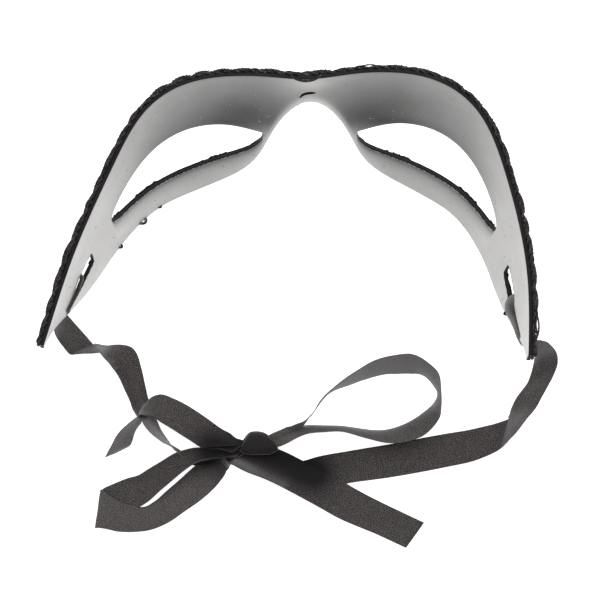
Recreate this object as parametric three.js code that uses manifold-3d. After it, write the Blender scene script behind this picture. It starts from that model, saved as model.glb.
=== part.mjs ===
// A domino mask for the upper face: a thin moulded shell with two almond eye openings,
// a black lace cover on its outside, and two flat ribbons tied in a bow behind it.
// Millimetres, +Z up. The wearer looks along +Y. The mask rests on its lower edge at z = 0.

import * as THREE from 'three';
import { mergeVertices } from 'three/addons/utils/BufferGeometryUtils.js';
import Module from 'manifold-3d';

const wasm = await Module();
wasm.setup();

// Driving dimensions

const HALF_LENGTH = 133.5;      // along the inner face, from the nose to a temple tip
const SWAY = 10.6;              // degrees both temples are bent towards -X at their tips
const SIDE_LEAN = 0.08;         // how differently the two temples lean, as a slope at the tips
const SHELL = 1.3;              // wall of the moulded shell
const GAP = 0.3;                // between the shell and what is glued to it
const LACE = 0.6;               // net of the lace cover
const BRAID = 0.9;              // how much thicker the corded border is along the upper rim
const BRAID_DEPTH = 3;          // height of that border
const LACE_INSET = 0.4;         // the lace stops this far from the cut edges below
const SLOT_HEIGHT = 8;
const RIBBON = 11.2;            // width of the ribbons
const RIBBON_THICK = 0.5;
const ORIGIN = { x: -9.8, y: -38.35 };   // middle of the mask, measured from the nose bridge

// Outlines of the face, each a smooth curve through a few real sizes.
// The first list is the share of HALF_LENGTH from the nose (0) to the tip (1).

const TURN = curve([0, 0.15, 0.3, 0.45, 0.6, 0.8, 1], [0, 1.7, 16.4, 49.4, 66, 76, 83.4]);
const LEAN = curve([-0.12, 0, 0.12, 0.28, 0.48, 0.72, 1], [0.142, 0.07, 0.142, 0.193, 0.119, 0.041, -0.031]);
const BULGE = -0.0013;
const BULGE_LEVEL = 30;

const BROW = curve(
  [-0.08, 0, 0.08, 0.18, 0.3, 0.42, 0.55, 0.7, 0.82, 0.93, 1],
  [66.1, 67, 66.1, 64.2, 62.7, 58.8, 50.1, 44, 39.7, 33.2, 30.1],
);
const CHEEK = curve(
  [-0.05, 0, 0.05, 0.09, 0.13, 0.165, 0.2, 0.25, 0.32, 0.4, 0.54, 0.68, 0.75, 0.87, 0.95, 1],
  [44.6, 50.8, 44.6, 33, 18.4, 11.4, 7.7, 4.4, 1.4, 0, -0.2, 0, 1.8, 12.9, 23.3, 27.2],
);
const EYE_START = 0.12;
const EYE_END = 0.6;
const EYE_TOP = curve([0, 0.15, 0.3, 0.5, 0.7, 0.87, 1], [29.6, 31.8, 35.6, 35.4, 29.8, 24.4, 20.2]);
const EYE_BOTTOM = curve([0, 0.12, 0.3, 0.5, 0.7, 0.87, 1], [29.6, 23.2, 17.4, 12.8, 13.8, 16.8, 20.2]);
const MIDDLE_NOSE = curve([0, 0.05, 0.09, 0.12], [59, 54.5, 43, 29.6]);
const MIDDLE_TEMPLE = curve([0.6, 0.75, 0.87, 0.95, 1], [20.2, 21.5, 24.5, 28.2, 28.7]);

const SLOT_START = 0.7;
const SLOT_END = 0.8;
const SLOT_LEVEL = curve([0.69, 0.745, 0.8], [17, 15.6, 14]);

// Routes of the ribbons. Each station is its centre x, y, z, then the way its width points,
// as a compass angle from +X and a tilt above level, and how much of the width lies open.

const LEFT_STRAP = [
  [-79.9, -47.3, 15.0, -105, -80, 0.5],
  [-79.4, -50.0, 14.4, -105, -80, 0.5],
  [-80.0, -53.4, 12.4, -110, -75, 0.6],
  [-82.2, -57.2, 9.0, -112, -50, 0.7],
  [-84.6, -60.2, 8.2, -114, -15, 0.85],
  [-84.4, -63.2, 8.0, -118, 15, 1],
  [-82.2, -65.9, 7.4, -128, 30, 1],
  [-79.2, -67.8, 6.3, -134, 39, 1],
  [-76.4, -68.5, 5.6, -115, 50, 0.9],
  [-73.6, -68.9, 5.4, -91, 52, 0.95],
  [-70.4, -69.6, 5.0, -91, 43, 1],
  [-67.3, -71.4, 4.0, -98, 20, 1],
  [-64.8, -74.0, 2.6, -114, 8, 1],
  [-63.0, -77.5, 1.7, -130, 8, 0.9],
  [-61.6, -81.0, 1.1, -145, 4, 0.8],
  [-60.6, -84.4, 0.8, -155, 2, 0.68],
  [-59.6, -87.6, 0.7, -158, 0, 0.58],
  [-58.2, -91.2, 0.7, -157, 0, 0.5],
  [-56.2, -95.4, 0.7, -150, 0, 0.42],
  [-53.4, -99.4, 0.9, -140, 15, 0.3],
  [-49.8, -102.6, 1.1, -125, 20, 0.22],
  [-44.6, -104.6, 0.8, -105, 0, 0.25],
  [-38.6, -105.4, 0.7, -95, 0, 0.3],
  [-32.0, -105.4, 0.7, -90, 0, 0.3],
  [-27.6, -105.0, 1.0, -90, 0, 0.3],
];

const RIGHT_STRAP = [
  [67.7, -53.0, 15.0, -95, 82, 0.5],
  [66.2, -56.2, 14.4, -95, 82, 0.5],
  [65.9, -60.6, 13.4, -95, 82, 0.6],
  [66.4, -65.6, 12.2, -95, 80, 0.7],
  [67.8, -69.8, 10.0, -95, 75, 0.75],
  [70.8, -73.0, 9.0, -90, 66, 0.8],
  [74.6, -74.4, 9.8, -62, 64, 0.9],
  [78.0, -76.0, 10.4, -44, 60, 1],
  [79.5, -79.2, 9.8, -38, 56, 1],
  [78.3, -82.2, 8.2, -24, 52, 1],
  [75.4, -85.6, 6.6, -22, 49, 1],
  [72.6, -89.6, 5.2, -25, 45, 1],
  [69.9, -93.6, 4.4, -33, 40, 1],
  [66.8, -97.3, 3.2, -50, 28, 1],
  [62.4, -100.6, 1.6, -66, 10, 1],
  [56.4, -103.4, 0.7, -75, 0, 1],
  [46.0, -106.0, 0.6, -81, 0, 1],
  [35.5, -107.5, 0.6, -84, 0, 1],
  [23.5, -109.4, 0.6, -84, 0, 1],
  [11.5, -111.0, 0.6, -85, 0, 1],
  [3.0, -111.4, 0.6, -88, 0, 1],
  [-4.0, -110.9, 0.7, -94, 0, 0.95],
  [-9.4, -109.3, 0.8, -100, 0, 0.75],
  [-13.0, -107.6, 1.2, -105, 0, 0.5],
];

const UPPER_LOOP = [
  [-10.6, -97.8, 4.6, -140, 40, 0.5],
  [-4.1, -95.9, 5.2, -124, 53, 0.95],
  [-1.0, -92.4, 5.6, -106, 60, 1],
  [3.2, -86.8, 5.6, -120, 57, 1],
  [9.8, -82.6, 5.7, -146, 67, 1],
  [15.5, -79.8, 5.8, -175, 73, 1],
  [22.1, -77.3, 5.8, 152, 71, 1],
  [28.8, -76.4, 5.8, 88, 72, 1],
  [33.2, -76.8, 5.8, 82, 73, 1],
  [37.4, -79.0, 5.9, 18, 80, 1],
  [40.2, -81.9, 5.9, -24, 75, 1],
  [41.7, -85.8, 5.8, -60, 72, 1],
  [41.4, -90.4, 4.9, -84, 48, 1],
  [39.2, -94.6, 4.6, -70, 41, 1],
  [34.2, -98.8, 4.3, -60, 35, 1],
  [27.8, -101.3, 4.2, -58, 35, 1],
  [21.6, -102.1, 4.4, -62, 38, 1],
  [15.0, -101.3, 4.6, -62, 43, 1],
  [7.9, -99.9, 5.4, -78, 58, 1],
  [1.2, -99.5, 5.4, -84, 57, 1],
  [-5.4, -100.2, 5.0, -90, 48, 0.9],
  [-11.0, -102.4, 4.6, -92, 40, 0.5],
];

const LOWER_LOOP = [
  [-32.4, -106.3, 2.6, 95, 0, 0.6],
  [-37.6, -106.8, 2.3, 105, 0, 0.6],
  [-44.6, -109.0, 1.9, 122, 0, 0.62],
  [-51.6, -113.0, 1.2, 125, 0, 0.72],
  [-57.4, -117.2, 0.8, 122, 0, 0.88],
  [-62.8, -119.6, 0.6, 113, 0, 1],
  [-68.6, -122.0, 0.6, 106, 0, 1],
  [-73.2, -123.6, 0.7, 98, 0, 1],
  [-74.1, -124.2, 1.1, 95, 0, 1],
  [-73.2, -124.7, 1.6, 92, 0, 1],
  [-67.0, -126.2, 1.6, 85, 0, 1],
  [-61.0, -126.8, 1.4, 93, 0, 0.92],
  [-54.6, -125.6, 1.1, 108, 0, 0.88],
  [-49.8, -122.4, 0.8, 122, 0, 0.9],
  [-46.0, -118.4, 0.7, 128, 0, 0.9],
  [-41.4, -114.8, 0.7, 130, 0, 0.84],
  [-37.8, -112.0, 0.7, 128, 0, 0.7],
  [-34.2, -110.2, 0.8, 120, 0, 0.45],
];

const RIGHT_TAIL = [
  [-17.4, -111.2, 2.8, 78, 0, 0.55],
  [-13.4, -112.4, 3.0, 66, 0, 0.85],
  [-8.0, -114.8, 2.8, 62, 0, 1],
  [-1.4, -118.2, 2.4, 62, 0, 1],
  [4.6, -121.4, 1.8, 62, 0, 1],
  [10.0, -124.2, 1.0, 62, 0, 1],
  [15.4, -127.0, 0.6, 62, 0, 1],
  [23.6, -131.2, 0.6, 61, 0, 1],
  [31.6, -135.6, 0.6, 56, 0, 1],
];

const LEFT_TAIL = [
  [-29.6, -102.8, 4.0, 62, -8, 0.65],
  [-35.7, -100.5, 3.4, 60, -8, 0.9],
  [-41.4, -97.0, 2.6, 60, -8, 0.95],
  [-46.8, -93.5, 2.4, 60, -8, 0.95],
  [-51.4, -90.6, 2.6, 62, -12, 0.95],
  [-54.8, -89.2, 3.6, 74, -20, 0.85],
  [-57.4, -89.8, 4.6, 84, -35, 0.55],
  [-59.4, -91.6, 5.0, 95, -52, 0.35],
  [-60.8, -94.2, 4.8, 110, -54, 0.45],
  [-62.6, -97.2, 4.6, 124, -50, 0.7],
  [-64.8, -100.4, 4.7, 136, -50, 0.85],
  [-66.8, -103.8, 4.9, 142, -50, 0.95],
  [-69.2, -106.8, 5.3, 143, -58, 1],
];

const KNOT = { x: -20, y: -103.8, z: 4.4, length: 12, depth: 8, height: 8 };

// A natural cubic curve through given points

function curve(at, values) {
  const n = at.length;
  const bend = new Array(n).fill(0);
  const pull = new Array(n).fill(0);
  for (let i = 1; i < n - 1; i++) {
    const before = at[i] - at[i - 1];
    const after = at[i + 1] - at[i];
    const share = before / (before + after);
    const p = share * bend[i - 1] + 2;
    bend[i] = (share - 1) / p;
    const jump = (values[i + 1] - values[i]) / after - (values[i] - values[i - 1]) / before;
    pull[i] = ((6 * jump) / (before + after) - share * pull[i - 1]) / p;
  }
  const second = new Array(n).fill(0);
  for (let i = n - 2; i > 0; i--) {
    second[i] = bend[i] * second[i + 1] + pull[i];
  }
  return (t) => {
    const x = Math.min(Math.max(t, at[0]), at[n - 1]);
    let i = 0;
    while (i < n - 2 && x > at[i + 1]) i++;
    const h = at[i + 1] - at[i];
    const a = (at[i + 1] - x) / h;
    const b = 1 - a;
    const straight = a * values[i] + b * values[i + 1];
    return straight + (((a ** 3 - a) * second[i] + (b ** 3 - b) * second[i + 1]) * h * h) / 6;
  };
}

// The plan line of each side, walked outwards from the nose

const PLAN_STEPS = 400;

function turnAt(side, s) {
  return THREE.MathUtils.degToRad(TURN(s) + side * SWAY * s);
}

function planLine(side) {
  const line = [new THREE.Vector2(0, 0)];
  for (let i = 1; i <= PLAN_STEPS; i++) {
    const angle = turnAt(side, (i - 0.5) / PLAN_STEPS);
    const step = HALF_LENGTH / PLAN_STEPS;
    const last = line[i - 1];
    line.push(new THREE.Vector2(last.x + step * Math.cos(angle), last.y - step * Math.sin(angle)));
  }
  return line;
}

const PLAN = { '-1': planLine(-1), 1: planLine(1) };

// A point of the face: s is the share of HALF_LENGTH, negative on the -X side,
// z its height, and out how far outside the inner face it lies.

function facePoint(s, z, out) {
  const side = s < 0 ? -1 : 1;
  const share = Math.abs(s);
  const place = Math.min(share * PLAN_STEPS, PLAN_STEPS - 1e-9);
  const i = Math.floor(place);
  const base = PLAN[side][i].clone().lerp(PLAN[side][i + 1], place - i);
  const angle = turnAt(side, share);
  const up = z - BULGE_LEVEL;
  const lean = LEAN(share) + side * SIDE_LEAN * share;
  const shift = lean * up + BULGE * up * up + out;
  const x = base.x + shift * Math.sin(angle);
  const y = base.y + shift * Math.cos(angle);
  return new THREE.Vector3(side * x - ORIGIN.x, y - ORIGIN.y, z);
}

// Heights of the outline at s, with the eye closed to one line outside its opening

function faceLevels(s, grow) {
  const share = Math.abs(s);
  const levels = { top: BROW(share), bottom: Math.max(CHEEK(share), 0) + grow };
  if (share <= EYE_START) {
    levels.eyeTop = MIDDLE_NOSE(share);
    levels.eyeBottom = levels.eyeTop;
  } else if (share >= EYE_END) {
    levels.eyeTop = MIDDLE_TEMPLE(share);
    levels.eyeBottom = levels.eyeTop;
  } else {
    const t = Math.acos(1 - (2 * (share - EYE_START)) / (EYE_END - EYE_START)) / Math.PI;
    levels.eyeTop = EYE_TOP(t) + grow;
    levels.eyeBottom = EYE_BOTTOM(t) - grow;
  }
  return levels;
}

// Columns of the face, closer together where the outline is busy

const NOSE_COLUMNS = [0, 0.03, 0.052, 0.07, 0.086, 0.102];
const EYE_COLUMNS = 14;
const TEMPLE_COLUMNS = 8;

// The side with +X ends a little sooner than the other

const RIGHT_END = 0.981;

function halfColumns(end) {
  const half = [...NOSE_COLUMNS];
  for (let i = 0; i < EYE_COLUMNS; i++) {
    const share = 0.5 - 0.5 * Math.cos((Math.PI * i) / EYE_COLUMNS);
    half.push(EYE_START + (EYE_END - EYE_START) * share);
  }
  for (let i = 0; i <= TEMPLE_COLUMNS; i++) {
    half.push(EYE_END + ((end - EYE_END) * i) / TEMPLE_COLUMNS);
  }
  return half;
}

function faceColumns() {
  const left = halfColumns(1).slice(1).reverse().map((s) => -s);
  return [...left, ...halfColumns(RIGHT_END)];
}

// A closed wall that follows the face between two distances from its inner side

function faceWall({ rows, inside, outside, grow }) {
  const columns = faceColumns();
  const corners = [];
  const push = (...points) => points.forEach((p) => corners.push(p.x, p.y, p.z));
  const quad = (a, b, c, d) => {
    push(a, b, c);
    push(a, c, d);
  };
  const strip = (s, upper) => {
    const levels = faceLevels(s, grow);
    const from = upper ? levels.top : levels.eyeBottom;
    const to = upper ? levels.eyeTop : levels.bottom;
    return rows.map((share) => {
      const z = from + (to - from) * share;
      const depth = levels.top - z;
      return { near: facePoint(s, z, inside), far: facePoint(s, z, outside(depth)) };
    });
  };
  const last = rows.length - 1;
  for (let i = 0; i < columns.length - 1; i++) {
    const middle = Math.abs(columns[i] + columns[i + 1]) / 2;
    const openEye = middle > EYE_START && middle < EYE_END;
    for (const upper of [true, false]) {
      const a = strip(columns[i], upper);
      const b = strip(columns[i + 1], upper);
      for (let j = 0; j < last; j++) {
        quad(a[j].near, a[j + 1].near, b[j + 1].near, b[j].near);
        quad(a[j].far, b[j].far, b[j + 1].far, a[j + 1].far);
      }
      if (upper || openEye) quad(a[0].near, b[0].near, b[0].far, a[0].far);
      if (!upper || openEye) quad(a[last].near, a[last].far, b[last].far, b[last].near);
      if (i === 0) {
        for (let j = 0; j < last; j++) {
          quad(a[j].near, a[j].far, a[j + 1].far, a[j + 1].near);
        }
      }
      if (i === columns.length - 2) {
        for (let j = 0; j < last; j++) {
          quad(b[j].near, b[j + 1].near, b[j + 1].far, b[j].far);
        }
      }
    }
  }
  return closedGeometry(corners);
}

// A block that follows the face, to cut a ribbon slot with

function slotCutter(side, margin) {
  const steps = 6;
  const corners = [];
  const push = (...points) => points.forEach((p) => corners.push(p.x, p.y, p.z));
  const quad = (a, b, c, d) => {
    push(a, b, c);
    push(a, c, d);
  };
  const ring = (i) => {
    const from = SLOT_START - margin / HALF_LENGTH;
    const to = SLOT_END + margin / HALF_LENGTH;
    const share = from + ((to - from) * i) / steps;
    const low = SLOT_LEVEL(share) - SLOT_HEIGHT / 2 - margin;
    const high = SLOT_LEVEL(share) + SLOT_HEIGHT / 2 + margin;
    return [
      facePoint(side * share, low, -3),
      facePoint(side * share, high, -3),
      facePoint(side * share, high, 6),
      facePoint(side * share, low, 6),
    ];
  };
  for (let i = 0; i < steps; i++) {
    const a = ring(i);
    const b = ring(i + 1);
    for (let j = 0; j < 4; j++) {
      const k = (j + 1) % 4;
      quad(a[j], b[j], b[k], a[k]);
    }
  }
  const first = ring(0);
  const end = ring(steps);
  quad(first[0], first[1], first[2], first[3]);
  quad(end[3], end[2], end[1], end[0]);
  return closedGeometry(corners);
}

// Loose triangles joined into one closed geometry whose faces point outwards

function closedGeometry(corners) {
  const geometry = new THREE.BufferGeometry();
  geometry.setAttribute('position', new THREE.Float32BufferAttribute(corners, 3));
  const merged = mergeVertices(geometry, 1e-4);
  const index = merged.getIndex();
  const kept = [];
  for (let i = 0; i < index.count; i += 3) {
    const [a, b, c] = [index.getX(i), index.getX(i + 1), index.getX(i + 2)];
    if (a !== b && b !== c && c !== a) kept.push(a, b, c);
  }
  merged.setIndex(signedVolume(merged, kept) < 0 ? flipped(kept) : kept);
  return merged;
}

function signedVolume(geometry, index) {
  const position = geometry.getAttribute('position');
  const [a, b, c] = [new THREE.Vector3(), new THREE.Vector3(), new THREE.Vector3()];
  let total = 0;
  for (let i = 0; i < index.length; i += 3) {
    a.fromBufferAttribute(position, index[i]);
    b.fromBufferAttribute(position, index[i + 1]);
    c.fromBufferAttribute(position, index[i + 2]);
    total += a.dot(b.cross(c)) / 6;
  }
  return total;
}

function flipped(index) {
  const turned = [];
  for (let i = 0; i < index.length; i += 3) turned.push(index[i], index[i + 2], index[i + 1]);
  return turned;
}

function toSolid(geometry) {
  const mesh = new wasm.Mesh({
    numProp: 3,
    vertProperties: Float32Array.from(geometry.getAttribute('position').array),
    triVerts: Uint32Array.from(geometry.getIndex().array),
  });
  return new wasm.Manifold(mesh);
}

function fromSolid(solid) {
  const mesh = solid.getMesh();
  const geometry = new THREE.BufferGeometry();
  geometry.setAttribute('position', new THREE.BufferAttribute(mesh.vertProperties, 3));
  geometry.setIndex(new THREE.BufferAttribute(mesh.triVerts, 1));
  return geometry;
}

function withSlots(geometry, margin) {
  let solid = toSolid(geometry);
  for (const side of [-1, 1]) {
    solid = solid.subtract(toSolid(slotCutter(side, margin)));
  }
  return fromSolid(solid);
}

// A flat ribbon swept along its stations

function ribbon(stations, stepsBetween) {
  const centres = stations.map(([x, y, z]) => new THREE.Vector3(x - ORIGIN.x, y - ORIGIN.y, z));
  const widths = stations.map(([, , , compass, tilt, open]) => {
    const [a, e] = [THREE.MathUtils.degToRad(compass), THREE.MathUtils.degToRad(tilt)];
    const way = new THREE.Vector3(Math.cos(e) * Math.cos(a), Math.cos(e) * Math.sin(a), Math.sin(e));
    return way.multiplyScalar((open * RIBBON) / 2);
  });
  const centreLine = new THREE.CatmullRomCurve3(centres);
  const widthLine = new THREE.CatmullRomCurve3(widths);
  const steps = (stations.length - 1) * stepsBetween;
  const rings = [];
  for (let i = 0; i <= steps; i++) {
    const t = i / steps;
    const centre = centreLine.getPoint(t);
    const width = widthLine.getPoint(t);
    const thick = centreLine.getTangent(t).cross(width).setLength(RIBBON_THICK / 2);
    rings.push([
      centre.clone().sub(width).sub(thick),
      centre.clone().add(width).sub(thick),
      centre.clone().add(width).add(thick),
      centre.clone().sub(width).add(thick),
    ]);
  }
  const corners = [];
  const quad = (a, b, c, d) => {
    for (const p of [a, b, c, a, c, d]) corners.push(p.x, p.y, p.z);
  };
  for (let i = 0; i < steps; i++) {
    for (let j = 0; j < 4; j++) {
      const k = (j + 1) % 4;
      quad(rings[i][j], rings[i][k], rings[i + 1][k], rings[i + 1][j]);
    }
  }
  const [first, end] = [rings[0], rings[steps]];
  quad(first[3], first[2], first[1], first[0]);
  quad(end[0], end[1], end[2], end[3]);
  return closedGeometry(corners);
}

// Materials

const MATERIALS = {
  shell: { color: 0xd9d6d4, roughness: 0.55, metalness: 0 },
  lace: { color: 0x121112, roughness: 0.85, metalness: 0 },
  ribbon: { color: 0x2b2929, roughness: 0.7, metalness: 0 },
};

function piece(name, geometry, finish) {
  const mesh = new THREE.Mesh(geometry, new THREE.MeshStandardMaterial(MATERIALS[finish]));
  mesh.name = name;
  return mesh;
}

// The moulded shell and the lace glued on its outside

function maskShell() {
  const wall = faceWall({
    rows: [0, 0.2, 0.4, 0.6, 0.8, 1],
    inside: 0,
    outside: () => SHELL,
    grow: 0,
  });
  return piece('mask_shell', withSlots(wall, 0), 'shell');
}

function laceCover() {
  const start = SHELL + GAP;
  const cover = faceWall({
    rows: [0, 0.12, 0.4, 0.7, 1],
    inside: start,
    outside: (depth) => start + LACE + BRAID * Math.max(0, 1 - depth / BRAID_DEPTH),
    grow: LACE_INSET,
  });
  return piece('lace_cover', withSlots(cover, 2), 'lace');
}

// The knot that both ribbons pass through

function bowKnot() {
  const geometry = new THREE.SphereGeometry(0.5, 14, 10);
  geometry.deleteAttribute('normal');
  geometry.deleteAttribute('uv');
  geometry.rotateX(Math.PI / 2);
  geometry.scale(KNOT.length, KNOT.depth, KNOT.height);
  geometry.translate(KNOT.x - ORIGIN.x, KNOT.y - ORIGIN.y, KNOT.z);
  const joined = mergeVertices(geometry, 1e-4);
  const points = joined.getAttribute('position');
  const corners = [];
  for (const i of joined.getIndex().array) {
    corners.push(points.getX(i), points.getY(i), points.getZ(i));
  }
  return piece('bow_knot', closedGeometry(corners), 'ribbon');
}

const mask = new THREE.Group();
mask.add(maskShell());
mask.add(laceCover());
mask.add(piece('ribbon_left_strap', ribbon(LEFT_STRAP, 2), 'ribbon'));
mask.add(piece('ribbon_right_strap', ribbon(RIGHT_STRAP, 2), 'ribbon'));
mask.add(piece('bow_upper_loop', ribbon(UPPER_LOOP, 3), 'ribbon'));
mask.add(piece('bow_lower_loop', ribbon(LOWER_LOOP, 3), 'ribbon'));
mask.add(piece('bow_right_tail', ribbon(RIGHT_TAIL, 2), 'ribbon'));
mask.add(piece('bow_left_tail', ribbon(LEFT_TAIL, 2), 'ribbon'));
mask.add(bowKnot());

export default mask;
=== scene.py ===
"""A black lace domino mask with a ribbon bow, seen from behind and above."""

from math import acos, atan2, copysign, cos, exp, hypot, pi, radians, sin, sqrt

import bmesh
import bpy
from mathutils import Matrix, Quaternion, Vector, noise


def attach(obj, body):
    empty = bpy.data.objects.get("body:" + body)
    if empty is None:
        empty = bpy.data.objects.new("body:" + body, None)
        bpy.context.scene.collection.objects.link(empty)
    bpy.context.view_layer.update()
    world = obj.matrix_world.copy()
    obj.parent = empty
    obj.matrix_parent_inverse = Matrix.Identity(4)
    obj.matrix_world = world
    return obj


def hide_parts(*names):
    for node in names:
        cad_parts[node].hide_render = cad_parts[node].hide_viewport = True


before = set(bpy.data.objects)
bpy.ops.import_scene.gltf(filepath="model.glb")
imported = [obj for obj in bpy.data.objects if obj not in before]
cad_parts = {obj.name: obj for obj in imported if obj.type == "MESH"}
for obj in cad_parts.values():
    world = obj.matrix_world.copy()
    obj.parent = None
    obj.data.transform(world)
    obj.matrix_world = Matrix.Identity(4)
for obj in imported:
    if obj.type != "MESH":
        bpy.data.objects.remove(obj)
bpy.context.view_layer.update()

bl_info = {
    "name": "Domino mask",
    "version": (1, 0, 0),
    "blender": (4, 5, 0),
    "location": "View3D > Sidebar > Mask",
    "description": "Builds the looks of a lace-covered domino mask with a ribbon bow",
    "category": "Add Mesh",
}

MM = 0.001

# Camera: from behind the mask and high above it, in millimetres and degrees

CAMERA_TARGET = (5.1, -11.55, 0.0)
CAMERA_DISTANCE = 731.0
CAMERA_ELEVATION = 67.87
CAMERA_YAW = -1.02
CAMERA_ROLL = -0.39
CAMERA_LENS = 126.0

# Face of the mask, as in the part's own source: millimetres, degrees and shares of the half length

HALF_LENGTH = 133.5
SWAY = 10.6
SIDE_LEAN = 0.08
GAP = 0.3
ORIGIN_X = -9.8
ORIGIN_Y = -38.35
BULGE = -0.0013
BULGE_LEVEL = 30.0
EYE_START = 0.12
EYE_END = 0.6
RIGHT_END = 0.981
SLOT_START = 0.7
SLOT_END = 0.8
SLOT_HALF_HEIGHT = 4.0
PLAN_STEPS = 400

# Cells of both sheets, along and up, and points of a cutter's outline

SHELL_CELLS = (500, 20)
LACE_CELLS = (500, 38)
CUTTER_POINTS = 56

# How far the lace stays back from the eye and lower edges, and from each slot, in millimetres

LACE_MARGIN = 0.4
LACE_SLOT_MARGIN = 2.0

# Depths of the cuts, outwards from the inside, and how square a slot's corners are

SLOT_CUT = (-3.0, 7.0)
SLOT_CORNER = 0.35
CREASE_CUT = (-0.6, 0.7)

# Crescent crease above the nose arch, which only the looks have, in millimetres and degrees

CREASE_X = 0.3
CREASE_Z = 53.7
CREASE_RADIUS = 3.4
CREASE_HALF = 1.15
CREASE_ANGLE = 123.0
CREASE_SWEEP = 58.0

# Painted shade and painted light on the inside: shares of the half length, and heights in millimetres

NOSE_SHADE = 0.155
NOSE_SHADE_Z = 38
NOSE_LIGHT_Z = 64
EYE_SHADE = 0.38
TEMPLE_LIGHT = 0.78

# Pattern of the lace, in millimetres and radians per millimetre

NET_RATE = 2.6
BEAD_RATE = 3.4
FLOWER_PITCH = 15.0
FLOWER_RISE = 13.0
PETALS = 6
PETAL_REACH = 4.1
PETAL_SWING = 1.2
PETAL_HALF = 0.6
VINE_PITCH = 30.0
VINE_SWING = 3.2
LEAF_PITCH = 10.0

# Rim of the lace: shares of the half length, counts, the braid's twist in radians per millimetre, and
# the radii of the cords in millimetres

RIM_LEFT = -0.996
RIM_RIGHT = RIGHT_END - 0.004
SCALLOPS_LEFT = -0.985
SCALLOPS_RIGHT = 0.965
LOOSE_SCALLOPS = (0.12, 0.93)
FULL_SCALLOPS = (-0.36, -0.08)
NOSE_LEFT = -0.048
NOSE_SPAN = 0.076
RIM_STEPS = 560
SCALLOP_STEPS = 18
SCALLOP_LANES = 5
STITCHES = 12
BRAID_RATE = 1.1
BRAID_RADIUS = 0.36
SCALLOP_RADIUS = 0.2
STITCH_RADIUS = 0.15
NOSE_RADIUS = 0.22
STRAY_RADIUS = 0.26

# Stray loops: share of the half length, then reach and half width in millimetres

STRAY_LOOPS = ((-0.44, 0.5, 1.0), (-0.505, 1.5, 1.9), (-0.6, 0.9, 1.0), (0.79, 0.7, 0.8))

# Floor's half size and lamps: name, place and size in metres, power in watts

FLOOR_HALF = 4.0
LAMPS = (("Overhead", (0.1, -0.35, 1.3), 1.2, 5.0), ("Front fill", (0.3, 1.2, 0.7), 1.0, 3.0))


def smooth_curve(at, values):
    """A natural cubic curve through given points, as a function."""
    last = len(at) - 1
    bend = [0.0] * (last + 1)
    pull = [0.0] * (last + 1)
    for i in range(1, last):
        before = at[i] - at[i - 1]
        after = at[i + 1] - at[i]
        share = before / (before + after)
        p = share * bend[i - 1] + 2
        bend[i] = (share - 1) / p
        jump = (values[i + 1] - values[i]) / after - (values[i] - values[i - 1]) / before
        pull[i] = (6 * jump / (before + after) - share * pull[i - 1]) / p
    second = [0.0] * (last + 1)
    for i in range(last - 1, 0, -1):
        second[i] = bend[i] * second[i + 1] + pull[i]

    def value(t):
        x = min(max(t, at[0]), at[last])
        i = 0
        while i < last - 1 and x > at[i + 1]:
            i += 1
        h = at[i + 1] - at[i]
        a = (at[i + 1] - x) / h
        b = 1 - a
        curved = (a**3 - a) * second[i] + (b**3 - b) * second[i + 1]
        return a * values[i] + b * values[i + 1] + curved * h * h / 6

    return value


TURN = smooth_curve([0, 0.15, 0.3, 0.45, 0.6, 0.8, 1], [0, 1.7, 16.4, 49.4, 66, 76, 83.4])
LEAN = smooth_curve(
    [-0.12, 0, 0.12, 0.28, 0.48, 0.72, 1],
    [0.142, 0.07, 0.142, 0.193, 0.119, 0.041, -0.031],
)
BROW = smooth_curve(
    [-0.08, 0, 0.08, 0.18, 0.3, 0.42, 0.55, 0.7, 0.82, 0.93, 1],
    [66.1, 67, 66.1, 64.2, 62.7, 58.8, 50.1, 44, 39.7, 33.2, 30.1],
)
CHEEK = smooth_curve(
    [-0.05, 0, 0.05, 0.09, 0.13, 0.165, 0.2, 0.25, 0.32, 0.4, 0.54, 0.68, 0.75, 0.87, 0.95, 1],
    [44.6, 50.8, 44.6, 33, 18.4, 11.4, 7.7, 4.4, 1.4, 0, -0.2, 0, 1.8, 12.9, 23.3, 27.2],
)
EYE_TOP = smooth_curve([0, 0.15, 0.3, 0.5, 0.7, 0.87, 1], [29.6, 31.8, 35.6, 35.4, 29.8, 24.4, 20.2])
EYE_BOTTOM = smooth_curve([0, 0.12, 0.3, 0.5, 0.7, 0.87, 1], [29.6, 23.2, 17.4, 12.8, 13.8, 16.8, 20.2])
MIDDLE_NOSE = smooth_curve([0, 0.05, 0.09, 0.12], [59, 54.5, 43, 29.6])
MIDDLE_TEMPLE = smooth_curve([0.6, 0.75, 0.87, 0.95, 1], [20.2, 21.5, 24.5, 28.2, 28.7])
SLOT_LEVEL = smooth_curve([0.69, 0.745, 0.8], [17, 15.6, 14])

# Ribbon stations, laid out in millimetres and degrees before the part's origin is taken off: centre x,
# y and z, compass angle and tilt of the width, and the share of the width that lies open. The rest is
# pleated lengthwise, and a share over 1 is drawn wider than the ribbon. A strap ends inside the knot,
# and a loop runs on through it into its own free end.

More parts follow.
